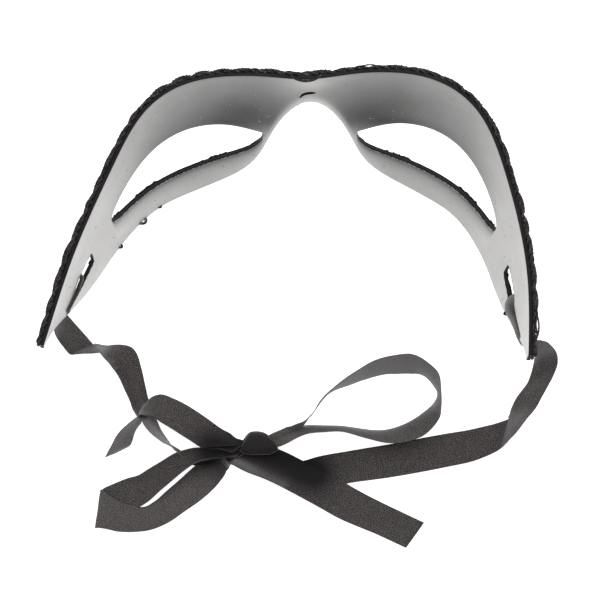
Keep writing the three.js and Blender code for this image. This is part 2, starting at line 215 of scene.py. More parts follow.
LEFT_STRAP = [
    (-86.4, -55.8, 18.5, -100, 86, 0.95), (-85.3, -52.9, 17.5, -100, 86, 0.95),
    (-84.1, -50.2, 16.8, -100, 86, 0.85), (-82.8, -47.4, 16.5, -100, 86, 0.7),
    (-80.9, -44.9, 16.4, -100, 86, 0.6), (-78.9, -46.8, 17.2, -50, 68, 0.5),
    (-79.8, -49.1, 15.9, -47, 65, 0.52), (-80.7, -51.2, 14.6, -46, 64, 0.55),
    (-82.1, -53.5, 13.6, -54, 63, 0.55), (-83.4, -56.1, 13.4, -65, 62, 0.6),
    (-84.2, -57.6, 12.6, -114, 66, 0.6), (-86.2, -59.3, 13, -112, 46, 0.85),
    (-86.4, -61.2, 12.6, -112, 36, 1), (-84.9, -63.4, 10.8, -119, 31, 1),
    (-82.2, -66.4, 8.7, -126, 31, 1), (-79.9, -68.7, 6.8, -138, 34, 1),
    (-78.8, -68.8, 6.6, -128, 43, 1), (-77.4, -68.7, 6.5, -114, 50, 1),
    (-75.9, -68.5, 6.3, -92, 52, 1), (-74.5, -68.4, 6.2, -74, 52, 1),
    (-72.4, -68.7, 5.8, -102, 56, 1), (-70.4, -69.3, 5.3, -111, 44, 1),
    (-68.6, -69.7, 4.8, -122, 34, 1), (-67.1, -70.2, 4.2, -133, 25, 1),
    (-66.2, -70.9, 3.6, -139, 20, 0.98), (-65.2, -72.3, 2.7, -147, 14, 0.92),
    (-64.3, -74.2, 1.8, -160, 5, 0.8), (-63.2, -77, 1.2, -167, 0, 0.72),
    (-61.9, -81.2, 1, -171, 0, 0.64), (-60.2, -86.4, 0.9, -174, 0, 0.56),
    (-58.9, -89.8, 2.2, -150, 34, 0.7), (-57.2, -93.3, 4.7, -133, 56, 1),
    (-55.9, -96, 5.1, -125, 58, 1), (-54.5, -98.4, 5.3, -117, 61, 1),
    (-52.9, -100.4, 5.4, -109, 64, 1), (-51, -102.4, 5.4, -99, 67, 1),
    (-48.9, -104, 4.9, -80, 71.6, 0.88), (-46.9, -105.1, 2.9, -80, 68, 0.5),
    (-44.3, -106.6, 1.3, -85, 30, 0.42), (-40, -107.4, 0.9, -85, 0, 0.45),
    (-34, -107.2, 0.9, -85, 0, 0.45), (-28.5, -106.3, 1.6, -85, 20, 0.45),
    (-23, -104.6, 3.6, -90, 70, 0.4),
]
RIGHT_STRAP = [
    (71.7, -66, 18.5, -80, 86, 0.95), (71.3, -62.9, 17.5, -80, 86, 0.95),
    (70.9, -60, 16.6, -80, 86, 0.95), (69.2, -57, 15.5, -80, 86, 0.95),
    (67, -56.4, 14.2, -60, 76, 0.9), (66.1, -58.4, 12.9, -57, 64, 0.78),
    (66.3, -61.4, 13, -50, 61, 0.72), (67.4, -64.6, 13.8, -55, 65, 0.66),
    (68.2, -68.8, 15.6, -53, 66, 0.55), (68.8, -72, 16.6, -56, 68, 0.42),
    (70.6, -73.2, 13, -50, 80, 0.5), (75.6, -74.5, 12, 25, 78, 1),
    (76.9, -76, 11.6, 14, 64, 1), (77.6, -78, 10.6, 8, 50, 1),
    (77.3, -80.9, 9.5, 5, 42, 1), (75.9, -84.2, 8.3, -3, 45, 1),
    (73.9, -87.2, 7.3, -11, 45, 1), (71.9, -90, 6.4, -15, 43, 1),
    (69.9, -93.4, 5.6, -22, 46, 1), (68, -96.2, 5.4, -42, 54, 1),
    (66.6, -97.9, 4.8, -66, 50, 1), (65, -99.5, 3.6, -92, 32, 1),
    (63.3, -101, 1.4, -108, 8, 1.05), (60.8, -102.1, 0.6, -113, 0, 1.14),
    (57.1, -103.4, 0.6, -109, 0, 1.12), (51.1, -104.9, 0.6, -97, 0, 1.05),
    (44.5, -106, 0.6, -92, 0, 1.05), (35.8, -107.5, 0.6, -88, 0, 1.05),
    (23.7, -109.5, 0.6, -86, 0, 1.03), (11.5, -111.1, 0.6, -86, 0, 1),
    (0.9, -112.7, 0.6, -88, 0, 0.99), (-5.1, -113.6, 0.7, -86, 0, 0.88),
    (-9.9, -112.8, 0.8, -82, 0, 0.76), (-14.4, -111, 1, -83, 0, 0.62),
    (-18.3, -109.2, 1.3, -91, 0, 0.49), (-17, -105.6, 2.2, -100, 0, 0.4),
]
UPPER_LOOP_AND_LEFT_END = [
    (-16.4, -103, 4.4, 157, 0, 0.5), (-12.6, -101, 4.7, 157, 0, 0.5),
    (-9.1, -99.3, 4.9, 165, 5, 0.45), (-6, -97.6, 5.1, -150, 32, 0.6),
    (-3.4, -95.4, 5.4, -120, 55, 1), (-0.9, -92.9, 5.6, -106, 60, 1),
    (3.3, -87.3, 5.6, -119, 58, 1), (9.9, -83.2, 5.7, -144, 67, 1),
    (15.5, -80.3, 5.8, -170, 73, 1), (22.1, -77.6, 5.8, 155, 72, 1),
    (28.8, -76.7, 5.8, 88, 74, 1), (33.2, -76.9, 5.8, 82, 75, 1),
    (37.1, -79, 5.9, 14, 80, 0.94), (39.9, -82, 5.9, -27, 75, 0.94),
    (41.3, -87.2, 5.8, -83, 71, 0.94), (40.7, -91.1, 5.4, -78, 56, 0.88),
    (39, -94.4, 5, -68, 43, 0.86), (33.7, -98.8, 4.3, -60, 34, 0.86),
    (27.4, -101.1, 4.2, -58, 36, 0.86), (21.6, -101.5, 4.4, -64, 40, 0.86),
    (15, -100.3, 4.8, -60, 43, 0.86), (8.1, -98.8, 5.4, -80, 60, 0.86),
    (1.4, -98.6, 5.4, -85, 58, 0.88), (-3.2, -98.8, 5.4, -79, 56, 0.94),
    (-6.6, -99.7, 5.2, -79, 55, 0.94), (-10.7, -101.4, 4.9, -79, 52, 0.9),
    (-15.1, -102.8, 4.5, -74, 45, 0.6), (-21.5, -103.6, 4.3, -20, 10, 0.3),
    (-27.5, -104.2, 4, 62, -8, 0.45), (-31.3, -102.4, 3.4, 60, -8, 0.62),
    (-35.6, -100.9, 2.9, 56, -10, 0.86), (-41.2, -96.7, 2.7, 67, -12, 0.96),
    (-46.6, -92.9, 2.7, 63, -15, 0.98), (-50.8, -90.4, 3, 68, -20, 1),
    (-53.7, -88.9, 3.6, 75, -26, 1), (-56, -89.2, 4.6, 82, -34, 1),
    (-57.9, -90.3, 5.6, 86, -46, 1), (-59.6, -91.6, 6, 94, -60, 1),
    (-60.3, -93.2, 5.8, 100, -71, 1), (-61.1, -95.1, 5.5, 51, -67, 1),
    (-63.2, -97.3, 5.3, 41, -61, 1), (-64.7, -99.6, 5.2, 35, -56, 1),
    (-65.7, -102.2, 5.2, 32, -51, 1), (-66.8, -104.3, 5.2, 34, -47, 1),
    (-68.8, -106.3, 5.4, 50, -53, 1),
]
LOWER_LOOP_AND_RIGHT_END = [
    (-27, -105.6, 3.2, 90, 0, 0.33), (-31.5, -105.9, 3.3, 92, 0, 0.33),
    (-35.3, -106.1, 3.4, 99, 0, 0.34), (-37.9, -106.5, 3.8, 109, 0, 0.37),
    (-41.7, -107.2, 4.2, 119, 0, 0.47), (-46.4, -109.3, 4, 118, 0, 0.61),
    (-51.3, -112.5, 3.2, 117, 0, 0.7), (-55.2, -115, 2.4, 116, 0, 0.78),
    (-58.6, -117.3, 1.6, 113, 0, 0.87), (-62.7, -118.9, 1, 110, 0, 1),
    (-67, -120.8, 0.7, 105, 0, 1.06), (-71, -122.7, 0.6, 97, 0, 1.13),
    (-73.2, -123.7, 0.8, 85, 0, 1.18), (-74, -124.1, 1.5, 83, 0, 1.2),
    (-73.2, -124.3, 2.3, 84, 0, 1.18), (-71.4, -125.1, 2.5, 88, 0, 1.1),
    (-67.2, -126.9, 2.2, 90, 0, 0.94), (-62.4, -127.7, 1.8, 96, 0, 0.82),
    (-57.3, -127.5, 1.4, 108, 0, 0.74), (-52.4, -125.1, 1.1, 122, 0, 0.79),
    (-48.6, -122.1, 0.9, 128, 0, 0.84), (-43.2, -117.9, 0.8, 130, 0, 0.91),
    (-38.3, -113.6, 0.9, 127, 0, 0.91), (-35, -111, 1.1, 126, 0, 0.74),
    (-32.2, -109.3, 1.8, 124, 25, 0.52), (-30.4, -109.6, 2.5, 170, 76, 0.42),
    (-28.1, -108, 3, -99, 20, 0.62), (-24.4, -108.3, 3, -108, 12, 0.85),
    (-20.2, -108.8, 3.1, -115, 10, 1.05), (-14.4, -111, 3, -118, 10, 1.1),
    (-5.9, -115.5, 2.4, -126, 8, 1.08), (2.8, -120.3, 1.5, -131, 3, 1.08),
    (11.2, -125.2, 0.8, -133, 0, 1.06), (21.9, -130.6, 0.6, -131, 0, 0.98),
    (31.5, -135.6, 0.6, -127, 0, 0.95),
]

KNOT_CENTRE = (-20.0, -103.8)

# Painted shade round and under the knot: darkest near the line between the start and end points below, and
# fading towards the ceiling. Near the line between the curl's start and end points a strip of the right end
# curls up and is painted lighter. All in millimetres.

KNOT_SHADE_REACH = 7.5
KNOT_SHADE_START = (-35.7, -104.9, 2.0)
KNOT_SHADE_END = (-2.2, -113.5, 0.8)
KNOT_SHADE_CEILING = 16
CURL_REACH = 3.4
CURL_START = (-27.7, -110.1, 2.0)
CURL_END = (-13.1, -118.2, 1.0)
CURL_CEILING = 5
CURL_LIFT = 0.6

# Fineness of a ribbon, the least share of its width, how much of a pleat's height is left once it is
# pressed flat, and the ribbon's slight unevenness in millimetres

STATION_STEPS = 8
RIBBON_CELLS = 18
LEAST_SHARE = 0.2
PLEAT_LIFT = 0.35
UNEVEN = 0.12

# Stations of a turn round the knot, and how many of them go once round

KNOT_STATIONS = 16
KNOT_ROUND = 14


def amount(name, description, default, **limits):
    """A size or an amount that a user may change."""
    return bpy.props.FloatProperty(name=name, description=description, default=default, **limits)


def tint(name, description, default):
    """A colour that a user may change."""
    return bpy.props.FloatVectorProperty(
        name=name, description=description, subtype="COLOR", default=default
    )


class MaskSizes(bpy.types.PropertyGroup):
    shell: amount("Shell", "Wall of the moulded shell, in millimetres", 1.3, min=0.5)
    net: amount("Net", "Thickness of the lace ground, in millimetres", 0.35, min=0.1)
    relief: amount("Relief", "Height of the lace cords, in millimetres", 0.6, min=0.0)
    inside: tint("Inside", "Colour of the bare inside", (0.5, 0.495, 0.49))
    paint: tint("Paint", "Colour of the painted edges", (0.012, 0.011, 0.011))
    thread: tint("Thread", "Colour of the lace", (0.022, 0.019, 0.02))


class RibbonSizes(bpy.types.PropertyGroup):
    width: amount("Width", "Width of the ribbons, in millimetres", 11.2, min=1.0)
    thick: amount("Thickness", "Thickness of the ribbons, in millimetres", 0.22, min=0.05)
    colour: tint("Colour", "Colour of the ribbons' face", (0.04, 0.035, 0.035))
    reverse: tint("Reverse", "Colour of the ribbons' back", (0.065, 0.058, 0.058))
    # The standing colour is painted light on ribbon that stands on edge; the selvedge also takes it.
    lit_and_selvedge: tint("Standing", "Colour of ribbon on edge", (0.135, 0.129, 0.129))


class StageLook(bpy.types.PropertyGroup):
    floor: amount("Floor", "How pale the floor is", 0.9, min=0.0, max=1.0)
    glow: amount("Glow", "Light that the floor gives off itself", 0.75, min=0.0)
    sky: amount("Sky", "Strength of the light from all round", 1.2, min=0.0)
    back: amount("Back", "Share of that light left on the wearer's side", 0.3, min=0.0)


# Shape of the face


def turn_at(side, share):
    """Plan angle of the face, in radians."""
    return radians(TURN(share) + side * SWAY * share)


def plan_line(side):
    """The plan curve of one side, walked outwards from the nose."""
    step = HALF_LENGTH / PLAN_STEPS
    line = [(0.0, 0.0)]
    for i in range(PLAN_STEPS):
        angle = turn_at(side, (i + 0.5) / PLAN_STEPS)
        x, y = line[-1]
        line.append((x + step * cos(angle), y - step * sin(angle)))
    return line


PLAN = {-1: plan_line(-1), 1: plan_line(1)}


def part_place(point):
    """A point of the layout, in millimetres, as a place of the part."""
    return Vector((point[0] - ORIGIN_X, point[1] - ORIGIN_Y, point[2])) * MM


def face_point(s, z, out):
    """A point of the face in metres: s from -1 to 1, z its height and out its depth, in millimetres."""
    side = -1 if s < 0 else 1
    share = min(abs(s), 1.0)
    place = min(share * PLAN_STEPS, PLAN_STEPS - 1e-9)
    i = int(place)
    (x0, y0), (x1, y1) = PLAN[side][i], PLAN[side][i + 1]
    part = place - i
    angle = turn_at(side, share)
    up = z - BULGE_LEVEL
    lean = LEAN(share) + side * SIDE_LEAN * share
    shift = lean * up + BULGE * up * up + out
    x = x0 + (x1 - x0) * part + shift * sin(angle)
    y = y0 + (y1 - y0) * part + shift * cos(angle)
    return part_place((side * x, y, z))


def face_levels(s, grow):
    """Heights of the brow, both eye edges and the lower edge at s, the last three set back by grow."""
    share = abs(s)
    top = BROW(share)
    bottom = max(CHEEK(share), 0.0) + grow
    if share <= EYE_START + 1e-6:
        eye_top = eye_bottom = MIDDLE_NOSE(share)
    elif share >= EYE_END - 1e-6:
        eye_top = eye_bottom = MIDDLE_TEMPLE(share)
    else:
        t = acos(1 - 2 * (share - EYE_START) / (EYE_END - EYE_START)) / pi
        eye_top = EYE_TOP(t) + grow
        eye_bottom = EYE_BOTTOM(t) - grow
    return top, eye_top, eye_bottom, bottom


def face_sheet(cells, grow):
    """An open sheet over the face, in a bmesh whose layers hold each vertex's s and height."""
    bm = bmesh.new()
    along = bm.verts.layers.float.new("along")
    height = bm.verts.layers.float.new("height")
    levels = {}
    for upper in (True, False):
        before = set(bm.verts)
        bmesh.ops.create_grid(bm, x_segments=cells[0], y_segments=cells[1], size=1.0)
        for v in set(bm.verts) - before:
            s = round(v.co.x, 6)
            if s > EYE_END:
                s = EYE_END + (s - EYE_END) * (RIGHT_END - EYE_END) / (1 - EYE_END)
            if s not in levels:
                levels[s] = face_levels(s, grow)
            top, eye_top, eye_bottom, bottom = levels[s]
            share = (v.co.y + 1) / 2
            low, high = (eye_top, top) if upper else (bottom, eye_bottom)
            v[along] = s
            v[height] = low + (high - low) * share
    for v in bm.verts:
        v.co = face_point(v[along], v[height], 0.0)
    bmesh.ops.remove_doubles(bm, verts=bm.verts, dist=1e-6)
    bmesh.ops.dissolve_degenerate(bm, edges=bm.edges, dist=1e-7)
    return bm, along, height


def write_layer(bm, name, value):
    """Stores on each vertex what the value says for its s and height."""
    layer = bm.verts.layers.float.new(name)
    along, height = bm.verts.layers.float["along"], bm.verts.layers.float["height"]
    for v in bm.verts:
        v[layer] = value(v[along], v[height])


def thicken(bm, along, height, inner, outer):
    """Gives the sheet a wall. Its outside and its edges take the second material."""
    bmesh.ops.recalc_face_normals(bm, faces=bm.faces)
    sheet = list(bm.faces)
    made = bmesh.ops.extrude_face_region(bm, geom=sheet)
    fresh = {g for g in made["geom"] if isinstance(g, bmesh.types.BMVert)}
    for v in bm.verts:
        depth = outer(v[along], v[height]) if v in fresh else inner
        v.co = face_point(v[along], v[height], depth)
    bmesh.ops.recalc_face_normals(bm, faces=bm.faces)
    for face in bm.faces:
        face.smooth = True
        face.material_index = int(any(v in fresh for v in face.verts))


def new_object(name, data):
    """A new object of that name in the scene."""
    thing = bpy.data.objects.new(name, data)
    bpy.context.scene.collection.objects.link(thing)
    return thing


def finish_mesh(bm, name, *materials):
    """Writes a bmesh into a new object of that name."""
    mesh = bpy.data.meshes.new(name)
    bm.to_mesh(mesh)
    bm.free()
    for material in materials:
        mesh.materials.append(material)
    return new_object(name, mesh)


def settle(piece):
    """Applies the piece's modifiers to its mesh."""
    seen = piece.evaluated_get(bpy.context.evaluated_depsgraph_get())
    mesh = bpy.data.meshes.new_from_object(seen)
    piece.modifiers.clear()
    old = piece.data
    piece.data = mesh
    bpy.data.meshes.remove(old)


def face_cutter(place, depths, material):
    """A block that follows the face between two depths, outlined by a function of a unit circle."""
    bm = bmesh.new()
    bmesh.ops.create_circle(bm, cap_ends=True, cap_tris=True, segments=CUTTER_POINTS, radius=1.0)
    spots = {}
    for v in bm.verts:
        spots[v] = (v.co.copy(), place(v.co.x, v.co.y))
    made = bmesh.ops.extrude_face_region(bm, geom=bm.faces[:])
    fresh = [g for g in made["geom"] if isinstance(g, bmesh.types.BMVert)]
    for v in fresh:
        s, z = min(spots.values(), key=lambda spot: (spot[0] - v.co).length_squared)[1]
        v.co = face_point(s, z, depths[1])
    for v, (_, (s, z)) in spots.items():
        v.co = face_point(s, z, depths[0])
    bmesh.ops.recalc_face_normals(bm, faces=bm.faces)
    return finish_mesh(bm, "cutter", material)


def cut_face(piece, place, depths, material):
    """Cuts one such block out of a wall of the face."""
    cutter = face_cutter(place, depths, material)
    tool = piece.modifiers.new("Cut", "BOOLEAN")
    tool.operation = "DIFFERENCE"
    tool.solver = "EXACT"
    tool.material_mode = "TRANSFER"
    tool.object = cutter
    settle(piece)
    bpy.data.objects.remove(cutter)


def squared(value):
    """Pushes a circle's coordinate outwards, so that the circle becomes a rounded block."""
    return copysign(abs(value) ** SLOT_CORNER, value)


def cut_slots(piece, grow, material):
    """Cuts both ribbon slots out of a wall of the face."""
    middle = (SLOT_START + SLOT_END) / 2
    half = (SLOT_END - SLOT_START) / 2 + grow / HALF_LENGTH
    for side in (-1, 1):

        def place(u, v):
            if hypot(u, v) < 0.5:
                u, v = 0.0, 0.0
            share = middle + squared(u) * half
            return side * share, SLOT_LEVEL(share) + squared(v) * (SLOT_HALF_HEIGHT + grow)

        cut_face(piece, place, SLOT_CUT, material)


def cut_crease(piece, material):
    """Cuts the small crescent crease into the inside, above the nose arch."""

    def place(u, v):
        angle = radians(CREASE_ANGLE - CREASE_SWEEP * u)
        reach = CREASE_RADIUS + CREASE_HALF * v * (0.62 + 0.38 * u)
        return (CREASE_X + reach * cos(angle)) / HALF_LENGTH, CREASE_Z + reach * sin(angle)

    cut_face(piece, place, CREASE_CUT, material)


# Materials


def new_material(name):
    """A node material with its Principled shader, ready to fill."""
    material = bpy.data.materials.new(name)
    material.use_nodes = True
    return material, material.node_tree, material.node_tree.nodes["Principled BSDF"]


def fill(node, inputs):
    """Gives a node's inputs their values, or links them to a given socket."""
    for key, value in inputs.items():
        if isinstance(value, bpy.types.NodeSocket):
            node.id_data.links.new(value, node.inputs[key])
        else:
            node.inputs[key].default_value = value


def add_node(tree, kind, inputs=None, **settings):
    """A shader node of that kind with its settings and inputs."""
    node = tree.nodes.new("ShaderNode" + kind)
    for key, value in settings.items():
        setattr(node, key, value)
    fill(node, inputs or {})
    return node


def add_math(tree, operation, *values):
    """A sum of that kind, as an output."""
    return add_node(tree, "Math", dict(enumerate(values)), operation=operation).outputs[0]


def read_layer(tree, name):
    """What a layer of the mesh says, as an output."""
    return add_node(tree, "Attribute", attribute_name=name).outputs["Fac"]


def ranged(tree, value, low, high, start=0.0, end=1.0, ease="LINEAR"):
    """A value that passes from start to end while another passes from low to high."""
    inputs = {"Value": value, "From Min": low, "From Max": high, "To Min": start, "To Max": end}
    return add_node(tree, "MapRange", inputs, interpolation_type=ease).outputs["Result"]


def speckle_group():
    """Cloudy mottling with fine grain, as a factor from 0 to 1."""
    group = bpy.data.node_groups.get("Mottled grain")
    if group:
        return group
    group = bpy.data.node_groups.new("Mottled grain", "ShaderNodeTree")
    add = group.interface.new_socket
    add("Vector", in_out="INPUT", socket_type="NodeSocketVector")
    for name, value in (("Cloud Scale", 60.0), ("Grain Scale", 1500.0), ("Grain Share", 0.5)):
        add(name, in_out="INPUT", socket_type="NodeSocketFloat").default_value = value
    add("Factor", in_out="OUTPUT", socket_type="NodeSocketFloat")
    given = group.nodes.new("NodeGroupInput").outputs
    mottle = []
    for scale, detail in (("Cloud Scale", 3.0), ("Grain Scale", 2.0)):
        inputs = {"Vector": given["Vector"], "Scale": given[scale], "Detail": detail}
        mottle.append(add_node(group, "TexNoise", inputs).outputs["Fac"])
    mix = add_node(group, "Mix", {"Factor": given["Grain Share"], "A": mottle[0], "B": mottle[1]})
    fill(group.nodes.new("NodeGroupOutput"), {"Factor": mix.outputs["Result"]})
    return group


def place_grain(tree, vector, cloud, grain, share):
    """The mottled grain in a material, with its own scales."""
    inputs = {"Vector": vector, "Cloud Scale": cloud, "Grain Scale": grain, "Grain Share": share}
    return add_node(tree, "Group", inputs, node_tree=speckle_group()).outputs["Factor"]


def two_tone(tree, factor, colour, dark, light, low=0.3, high=0.7):
    """A ramp from a darker to a lighter shade of one colour."""
    ramp = add_node(tree, "ValToRGB", {"Fac": factor})
    for stop, place, by in zip(ramp.color_ramp.elements, (low, high), (dark, light)):
        stop.position = place
        stop.color = (*scaled(colour, by), 1)
    return ramp.outputs["Color"]


def blend_colours(tree, factor, first, second):
    """One colour passing into another as the factor grows. The second may be a plain colour."""
    if not isinstance(second, bpy.types.NodeSocket):
        second = (*second, 1)
    inputs = {0: factor, 6: first, 7: second}
    return add_node(tree, "Mix", inputs, data_type="RGBA").outputs[2]


def finish(shader, colour, roughness, specular, height, strength, distance):
    """Gives the shader its colour and gloss, and a bump of that height."""
    inputs = {"Strength": strength, "Distance": distance, "Height": height}
    bump = add_node(shader.id_data, "Bump", inputs).outputs["Normal"]
    gloss = {"Roughness": roughness, "Specular IOR Level": specular}
    fill(shader, {"Base Color": colour, **gloss, "Normal": bump})


def scaled(colour, by):
    """A colour made lighter or darker."""
    return tuple(min(1.0, c * by) for c in colour)


def fading(distance, reach, power=2):
    """A value that falls from 1 towards 0 past that reach."""
    return exp(-((distance / reach) ** power))


def painted_inside_shading(s, z):
    """How light the bare inside is, as painted shade and painted light: shade beside the nose, over the brow
    and above the eyes, darker just under the lower eye edges, and light towards the temples, at the middle of
    the brow and along the nose arch.
    """
    share = abs(s)
    _, eye_top, eye_bottom, bottom = face_levels(s, 0.0)
    reach = 24.0 if z > NOSE_SHADE_Z else 9.0
    tone = 1 - 0.87 * fading(share - NOSE_SHADE, 0.19) * fading(z - NOSE_SHADE_Z, reach)
    if EYE_START < share < EYE_END:
        below, above = eye_bottom - z, z - eye_top
        if below >= 0:
            tone *= (1 - 0.6 * fading(below, 1.8)) * (1 - 0.38 * fading(below, 5.0))
            tone *= 1 + 0.08 * fading(below - 9, 4.0)
        else:
            tone *= 1 - 0.3 * fading(share - EYE_SHADE, 0.15) * fading(above, 12.0)
            tone -= 0.1 * fading(above, 3.0)
    tone *= 1.14 - 0.34 * fading(share, 0.56, 5)
    tone *= 1 + 0.22 * min(1.0, max(0.0, (share - TEMPLE_LIGHT) / 0.16))
    arch = fading(z - bottom, 3.8) * fading(share, 0.16, 4)
    middle_nose = fading(share, 0.05) * fading(z - NOSE_LIGHT_Z, 5.0)
    return tone + 0.3 * middle_nose + (1.3 - tone) * arch * 0.8


def inside_material(sizes):
    """Bare moulded plastic: a soft satin skin, with painted shade and painted light over parts of it."""
    material, tree, shader = new_material("Moulded inside")
    place = add_node(tree, "TexCoord").outputs["Object"]
    grain = place_grain(tree, place, 70.0, 1400.0, 0.35)
    skin = two_tone(tree, grain, sizes.inside, 0.92, 1.06)
    mist = add_math(tree, "MULTIPLY_ADD", grain, 0.12, -0.06)
    # The tone layer holds the inside's painted shade and painted light.
    level = add_math(tree, "ADD", read_layer(tree, "tone"), mist)
    shade = add_node(tree, "VectorMath", {0: skin, "Scale": level}, operation="SCALE")
    fleck = add_node(tree, "TexNoise", {"Vector": place, "Scale": 620.0, "Detail": 1.0})
    spots = ranged(tree, fleck.outputs["Fac"], 0.72, 0.77)
    tone = blend_colours(tree, spots, shade.outputs[0], scaled(sizes.inside, 0.45))
    finish(shader, tone, 0.55, 0.25, grain, 0.12, 0.0003)
    return material


def paint_material(sizes):
    """Black paint on the outside and on the cut edges."""
    material, tree, shader = new_material("Black paint")
    grain = place_grain(tree, add_node(tree, "TexCoord").outputs["Object"], 120.0, 1800.0, 0.5)
    tone = two_tone(tree, grain, sizes.paint, 0.7, 1.6)
    finish(shader, tone, 0.6, 0.15, grain, 0.3, 0.0002)
    return material


def lace_material(sizes, name, light, patterned=False):
    """Black cotton thread of the lace, with a fine dark net between its cords where it has a pattern."""
    material, tree, shader = new_material(name)
    place = add_node(tree, "TexCoord").outputs["Object"]
    grain = place_grain(tree, place, 500.0, 2600.0, 0.7)
    tone = two_tone(tree, grain, sizes.thread, 0.35, light, 0.44, 0.74)
    if patterned:
        ground = ranged(tree, read_layer(tree, "raised"), 0.3, 0.75, 1.0, 0.0, "SMOOTHSTEP")
        tone = blend_colours(tree, ground, tone, scaled(sizes.thread, 0.2))
    fill(shader, {"Sheen Weight": 0.1, "Sheen Roughness": 0.4})
    net = {"Vector": place, "Scale": 1100.0}
    threads = add_node(tree, "TexVoronoi", net, feature="DISTANCE_TO_EDGE")
    finish(shader, tone, 0.85, 0.1, threads.outputs["Distance"], 0.6, 0.0006)
    return material


def ribbon_material(sizes, name, colour, dark, light):
    """Charcoal woven ribbon, with painted light where it stands on edge, as if light came through its weave,
    and painted shade round the knot.
    """
    material, tree, shader = new_material(name)
    uv = add_node(tree, "UVMap", uv_map="Ribbon").outputs["UV"]
    grain = place_grain(tree, uv, 400.0, 3000.0, 0.9)
    flat = two_tone(tree, grain, colour, dark, light, 0.38, 0.68)
    lit_and_selvedge = two_tone(tree, grain, sizes.lit_and_selvedge, 0.7, 1.35, 0.36, 0.68)
    # Painted light: steep ribbon and the curled strip take the paler standing colour.
    painted_light_share = ranged(tree, read_layer(tree, "steep"), 0.2, 0.66, ease="SMOOTHSTEP")
    tone = blend_colours(tree, painted_light_share, flat, lit_and_selvedge)
    across = add_node(tree, "SeparateXYZ", {0: uv}).outputs["X"]
    half = 0.5 * sizes.width * MM
    selvedge = ranged(tree, add_math(tree, "ABSOLUTE", across), half * 0.94, half * 0.98, end=0.18)
    tone = blend_colours(tree, selvedge, tone, sizes.lit_and_selvedge)
    # Painted shade round and under the knot.
    tone = blend_colours(tree, read_layer(tree, "knot_shade"), tone, scaled(sizes.colour, 0.22))
    fill(shader, {"Sheen Weight": 0.25, "Sheen Roughness": 0.3})
    weave = {"Vector": uv, "Scale": 560.0, "Distortion": 1.2, "Detail": 1.0}
    ribs = add_node(tree, "TexWave", weave, bands_direction="Y")
    finish(shader, tone, 0.6, 0.12, add_math(tree, "ADD", ribs.outputs["Fac"], grain), 0.35, 0.0002)
    return material


def ribbon_cloth(sizes):
    """The two sides of the ribbon's cloth: its face, and its paler back."""
    cloth = []
    for name, *shades in (("Ribbon face", sizes.colour, 0.15, 3.6), ("Ribbon back", sizes.reverse, 0.4, 2.5)):
        cloth.append(bpy.data.materials.get(name) or ribbon_material(sizes, name, *shades))
    return cloth


# Lace


def ridge(distance, half_width):
    """A rounded cord across that distance, from 0 to 1."""
    return sqrt(max(0.0, 1 - (distance / half_width) ** 2))


def border_height(s, z):
    """How far the beaded cords along the lace's edges stand out, from 0 to 1."""
    top, eye_top, eye_bottom, bottom = face_levels(s, 0.0)
    borders = [(top - z, 1.5), (top - z, 3.4), (z - bottom, 1.5)]
    if EYE_START < abs(s) < EYE_END:
        borders += [(z - eye_top, 1.4), (eye_bottom - z, 1.4)]
    beads = 0.8 + 0.2 * cos(s * HALF_LENGTH * BEAD_RATE)
    return max(0.85 * beads * ridge(distance - place, 0.55) for distance, place in borders)


def flower_height(a, z):
    """How far the flowers stand out, from 0 to 1: a bead, and petals with an edge and veins."""
    column = round(a / FLOWER_PITCH)
    shift = FLOWER_RISE / 2 if column % 2 else 0.0
    row = round((z - shift) / FLOWER_RISE)
    dx, dz = a - FLOWER_PITCH * column, z - shift - FLOWER_RISE * row
    r = hypot(dx, dz)
    turn = atan2(dz, dx) + 0.3 * column
    petal = PETAL_REACH + PETAL_SWING * cos(PETALS * turn)
    veins = 0.42 + 0.16 * cos(2 * PETALS * turn) * min(1.0, r / 3) if r < petal else 0.0
    return max(ridge(r, 1.2), ridge(r - petal, PETAL_HALF), veins)


def vine_height(a, z):
    """How far the vines and their leaves stand out, from 0 to 1."""
    middle = FLOWER_RISE / 2
    vine = VINE_SWING * sin(a * 2 * pi / VINE_PITCH) + middle
    gap = (z - vine + middle) % FLOWER_RISE - middle
    leaf = (a + 4) % LEAF_PITCH - LEAF_PITCH / 2
    return max(0.8 * ridge(gap, 0.5), 0.6 * ridge(hypot(leaf * 0.55, abs(gap) - 1.4), 1.0))


def lace_height(s, z):
    """How far the lace's cords stand out at a place of the face, from 0 to 1."""
    a = s * HALF_LENGTH
    net = 0.12 * abs(sin(a * NET_RATE) * sin(z * NET_RATE))
    return min(max(net, border_height(s, z), flower_height(a, z), vine_height(a, z)), 1.0)


def wander(place, seed):
    """A smooth chance value."""
    return noise.noise(Vector((place, seed, 0.0)))


def rim_place(a):
    """The share of the face's length at a distance from its middle, kept inside both ends."""
    return max(RIM_LEFT, min(RIM_RIGHT, a / HALF_LENGTH))


def braid_cords(start):
    """The cords twisted along the upper border."""
    cords = []
    for lane, turn in ((0.35, 0.0), (0.35, pi), (0.9, 1.5)):
        points = []
        for i in range(RIM_STEPS + 1):
            a = (RIM_LEFT + (RIM_RIGHT - RIM_LEFT) * i / RIM_STEPS) * HALF_LENGTH
            s = rim_place(a)
            side = 0.25 * cos(a * BRAID_RATE + turn) + 0.25 * wander(a * 0.25, turn)
            up = 0.3 * sin(a * BRAID_RATE + turn) + 0.2 * wander(a * 0.3, turn + 9)
            points.append(face_point(s, BROW(abs(s)) - 0.35 + up, start + lane + side))
        cords.append(cord_along(points, BRAID_RADIUS))
    return cords


